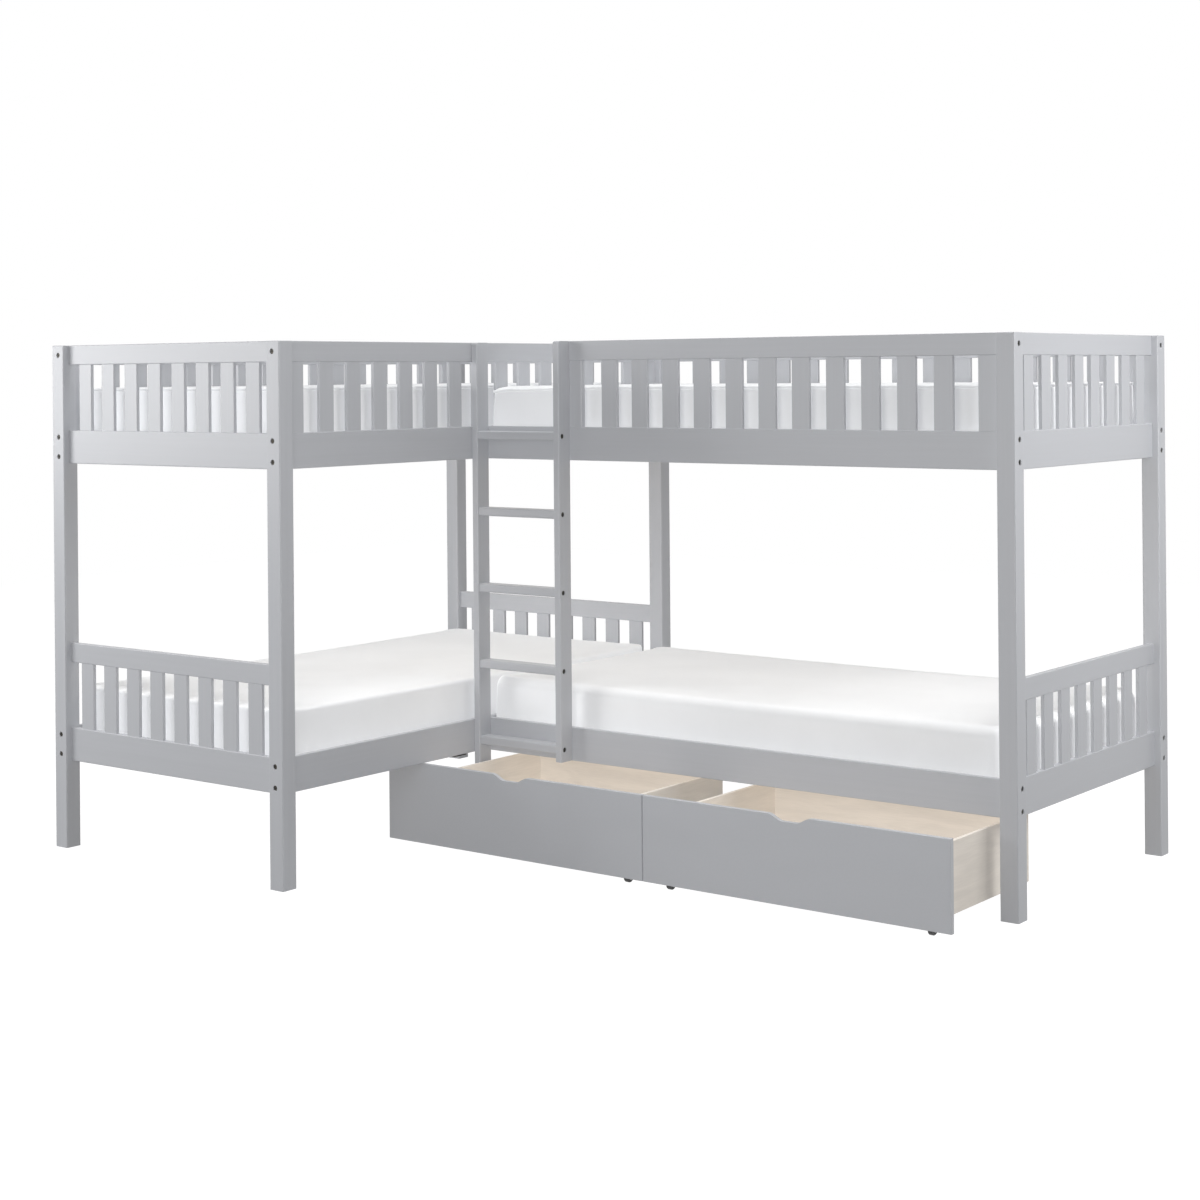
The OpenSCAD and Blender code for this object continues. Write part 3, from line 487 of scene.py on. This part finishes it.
def mattress_blank(low, high, edge, square):
    """A block of the mattress's size with its upright and level edges rounded. The upright edge at
    square, where there is one, is rounded less than the others."""
    room = Vector((SWELL_ROOM, SWELL_ROOM, 0))
    low = low + room
    high = high - room
    bpy.ops.mesh.primitive_cube_add(size=1, location=(low + high) / 2)
    obj = bpy.context.object
    obj.scale = high - low
    bpy.ops.object.transform_apply(location=True, rotation=True, scale=True)

    def is_square(point):
        if square is None:
            return False
        return (seen_from_above(point) - Vector(square)).length < 2 * SWELL_ROOM

    def upright(a, b):
        return abs(a.z - b.z) > CORNER

    def level(a, b):
        return abs(a.z - b.z) < LEVEL

    bevel_edges(obj, lambda a, b: upright(a, b) and not is_square(a), CORNER, CORNER_STEPS)
    bevel_edges(obj, lambda a, b: upright(a, b) and is_square(a), SQUARE_CORNER, CORNER_STEPS)
    bevel_edges(obj, level, edge, EDGE_STEPS)
    obj.data.remesh_voxel_size = VOXEL
    bpy.ops.object.voxel_remesh()
    return obj


def simulate_cover(obj):
    """Blows the cloth cover up a little over its filling, with slack cloth, held at the deck."""
    start = [v.co.copy() for v in obj.data.vertices]
    floor_z = min(v.z for v in start)
    held = obj.vertex_groups.new(name="held")
    held.add([i for i, v in enumerate(start) if v.z < floor_z + HELD], 1.0, "REPLACE")
    cloth = obj.modifiers.new("cover", "CLOTH")
    cover = cloth.settings
    cover.quality = CLOTH_QUALITY
    cover.use_pressure = True
    cover.uniform_pressure_force = PRESSURE
    cover.effector_weights.gravity = 0
    cover.shrink_min = SLACK
    cover.bending_stiffness = BENDING
    cover.vertex_group_mass = held.name
    cloth.collision_settings.use_collision = False
    for step in range(1, CLOTH_FRAMES + 1):
        bpy.context.scene.frame_set(step)
    bpy.context.view_layer.objects.active = obj
    bpy.ops.object.modifier_apply(modifier=cloth.name)
    bpy.context.scene.frame_set(1)
    for v, old in zip(obj.data.vertices, start):
        move = v.co - old
        far = move.length
        if far > STILL:
            v.co = old + move * (SWELL_CAP * math.tanh(far / SWELL_CAP) / far)


def bell(distance, reach):
    """1 at no distance, falling softly to nothing past the reach."""
    return math.exp(-(distance / reach) ** 2)


def sink(point, lift, droops):
    """Lowers a point where the mattress is pressed down."""
    for droop in droops:
        away = (seen_from_above(point) - Vector(droop.middle)).length
        point.z -= droop.depth * lift * bell(away, droop.reach)


def shape_cover(obj, low, high, crown, folds, droops):
    """Adds the crown, and the folds and pressed corners that the photograph shows.
    A fold is a ridge on the outer face."""
    middle = (low + high) / 2
    half = (high - low) / 2
    normals = [v.normal.copy() for v in obj.data.vertices]
    for v, normal in zip(obj.data.vertices, normals):
        u = (v.co.x - middle.x) / half.x
        w = (v.co.y - middle.y) / half.y
        lift = min(max((v.co.z - middle.z) / half.z, 0), 1)
        v.co.z += crown * lift * max(1 - u ** CROWN_POWER, 0) * max(1 - w ** CROWN_POWER, 0)
        for fold in folds:
            gap = v.co - fold.middle
            run = gap.dot(fold.direction)
            off = (gap - fold.direction * run).length
            v.co += normal * (fold.height * bell(run, fold.half_length) * bell(off, fold.half_width))
        sink(v.co, lift, droops)
        v.co.z = max(v.co.z, low.z)
        v.co.z = min(v.co.z, high.z + crown)


def outline(obj, height):
    """The outline of a piece at a height, as a loop of edges."""
    select_only(obj)
    bpy.ops.object.duplicate()
    bpy.ops.object.mode_set(mode="EDIT")
    bpy.ops.mesh.select_all(action="SELECT")
    bpy.ops.mesh.bisect(plane_co=(0, 0, height), plane_no=(0, 0, 1), clear_inner=True, clear_outer=True)
    bpy.ops.object.mode_set(mode="OBJECT")
    return bpy.context.object


def piping(obj, name, cut, height, droops=()):
    """A sewn cord round the mattress at a height, half sunk in the cover, along its outline at the cut."""
    cord = outline(obj, cut)
    for v in cord.data.vertices:
        v.co.z += height - cut
        sink(v.co, 1, droops)
    bpy.ops.object.convert(target="CURVE")
    cord.data.bevel_depth = CORD
    cord.data.bevel_resolution = 2
    bpy.ops.object.convert(target="MESH")
    finish_piece(cord, name, highlit_piped_cotton)


def make_mattress(node, edge, sag, crown, piped=False, folds=(), droops=(), square=None):
    """A mattress in its node's box: radius of its level edges, depth of its top edge under the box's
    top, rise of its middle, and place of its square corner, if it has one."""
    low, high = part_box(node)
    high.z -= sag
    if square:
        low.x -= TUCK
    obj = mattress_blank(low, high, edge, square)
    simulate_cover(obj)
    shape_cover(obj, low, high, crown, folds, droops)
    smooth = obj.modifiers.new("smooth", "SUBSURF")
    smooth.levels = smooth.render_levels = 1
    bpy.ops.object.modifier_apply(modifier=smooth.name)
    finish_piece(obj, node + "_cover", cover_cotton)
    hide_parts(node)
    if piped:
        piping(obj, node + "_lower_piping", low.z + CORD_RISE, low.z + CORD_RISE)
        piping(obj, node + "_upper_piping", high.z - CORD_CUT, high.z - CORD, droops)


cover_cotton = cotton("white_percale", CLOTH, PERCALE_THREAD)
# the piping's cloth is a lighter copy of the cover's: a painted highlight
highlit_piped_cotton = cotton("white_piping", tone(CLOTH, PIPING_HIGHLIGHT_TONE), PIPING_THREAD)
low_a, high_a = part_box("mattress_a_lower")
low_b, high_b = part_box("mattress_b_lower")
inner_corner = (low_b.x - TUCK, low_b.y)


def side_fold_a(run, depth, half_length, half_width, height):
    """A slanting fold in the side of bed A's lower mattress, at a run from its front end."""
    middle = Vector((high_a.x, low_a.y + run, high_a.z - depth))
    return Fold(middle, SLANT, half_length, half_width, height)


def front_fold_b(run, lean, half_length, half_width, height):
    """A fold down the front of bed B's lower mattress, at a run from its corner at the ladder."""
    middle = Vector((low_b.x + run, low_b.y, high_b.z - FRONT_FOLD_DEPTH))
    return Fold(middle, Vector((lean, 0, -1)).normalized(), half_length, half_width, height)


make_mattress("mattress_a_lower", edge=0.008, sag=0.014, crown=0.005, folds=[
    side_fold_a(run=0.78, depth=0.07, half_length=0.07, half_width=0.022, height=0.004),
    side_fold_a(run=0.86, depth=0.06, half_length=0.06, half_width=0.018, height=0.0035)])
make_mattress("mattress_b_lower", edge=0.030, sag=0.014, crown=0.005, square=inner_corner, folds=[
    front_fold_b(run=0.13, lean=0.1, half_length=0.08, half_width=0.020, height=0.003),
    front_fold_b(run=0.21, lean=-0.1, half_length=0.07, half_width=0.016, height=0.0025)])
make_mattress("mattress_a_upper", edge=0.008, sag=0.008, crown=0.002, piped=True)
make_mattress("mattress_b_upper", edge=0.008, sag=0.014, crown=0.002, piped=True, square=inner_corner,
              droops=[Droop((low_b.x + 0.13, low_b.y), reach=0.22, depth=0.006),
                      Droop(inner_corner, reach=0.05, depth=0.010)])

# ---------- stage ----------

FLOOR_SIDE = 18.0
FLOOR_BOUNCE = 0.12        # what the floor returns to the bed
FLOOR_SHADOW = 0.2         # the same where the camera sees it, so the bed's shadow stays faint
FLOOR_GLOW = 0.9


def turn_to(lamp, direction, axis):
    """Turns a lamp until its own axis points in a direction."""
    lamp.rotation_mode = "QUATERNION"
    lamp.rotation_quaternion = direction.to_track_quat(axis, "Y")


def softbox(name, place, aim, side, power):
    data = bpy.data.lights.new(name, "AREA")
    data.shape = "SQUARE"
    data.size = side
    data.energy = power
    lamp = add_object(name, data)
    lamp.location = place
    lamp.visible_camera = False
    turn_to(lamp, Vector(aim) - Vector(place), "-Z")


def fill_sun(name, towards):
    """A weak sun without shadows, as a stand-in for the studio's wide bounce light. The arrow points to
    the sun, and its length is the sun's strength."""
    data = bpy.data.lights.new(name, "SUN")
    data.energy = Vector(towards).length
    data.use_shadow = False
    turn_to(add_object(name, data), Vector(towards), "Z")


def seen_directly(shading):
    """1 for camera, glossy and transmission rays, which see the white backdrop, and 0 for the others."""
    path = shading.node("ShaderNodeLightPath").socket.node
    camera, glossy, transmission = [Value(shading, path.outputs[f"Is {kind} Ray"])
                                    for kind in ("Camera", "Glossy", "Transmission")]
    return camera.larger(glossy).larger(transmission)


def light_world():
    """A backdrop that is white to look at and gives the bed no light."""
    world = bpy.data.worlds.new("studio")
    bpy.context.scene.world = world
    world.use_nodes = True
    shading = Shading(world.node_tree)
    background = world.node_tree.nodes["Background"]
    shading.feed(background.inputs["Color"], WHITE)
    shading.feed(background.inputs["Strength"], seen_directly(shading))


def add_floor():
    bpy.ops.mesh.primitive_plane_add(size=FLOOR_SIDE, location=(0, 0, 0))
    floor = bpy.context.object
    floor.name = "floor"
    material = bpy.data.materials.new("pale_floor")
    material.use_nodes = True
    material.node_tree.nodes.clear()
    shading = Shading(material.node_tree)
    seen = seen_directly(shading)
    colour = shading.blend(seen, tone(WHITE, FLOOR_BOUNCE), tone(WHITE, FLOOR_SHADOW))
    matt = shading.node("ShaderNodeBsdfDiffuse", inputs={"Color": colour})
    glow = shading.node("ShaderNodeEmission", inputs={"Strength": seen * FLOOR_GLOW})
    both = shading.node("ShaderNodeAddShader", inputs={0: matt, 1: glow})
    out = material.node_tree.nodes.new("ShaderNodeOutputMaterial")
    shading.feed(out.inputs["Surface"], both)
    floor.data.materials.append(material)


softbox("left_softbox", (-3.0, -2.7, 1.9), aim=(-1.2, -1.0, 1.0), side=1.6, power=62)
softbox("right_softbox", (3.2, 0.5, 2.0), aim=(1.4, 0.4, 1.0), side=1.6, power=44)
softbox("inner_softbox", (0.9, -2.8, 1.5), aim=(-0.1, -0.2, 0.7), side=1.6, power=20)
softbox("high_softbox", (0.3, 0.0, 4.6), aim=(0.0, 0.0, 1.2), side=2.0, power=44)
fill_sun("ceiling_bounce", (-0.4, 0.55, 1.61))
fill_sun("front_bounce", (-0.2, -1.12, -0.1))
fill_sun("side_bounce", (0.9, 0.2, -0.1))
light_world()
add_floor()
bpy.context.scene.view_settings.view_transform = "Standard"
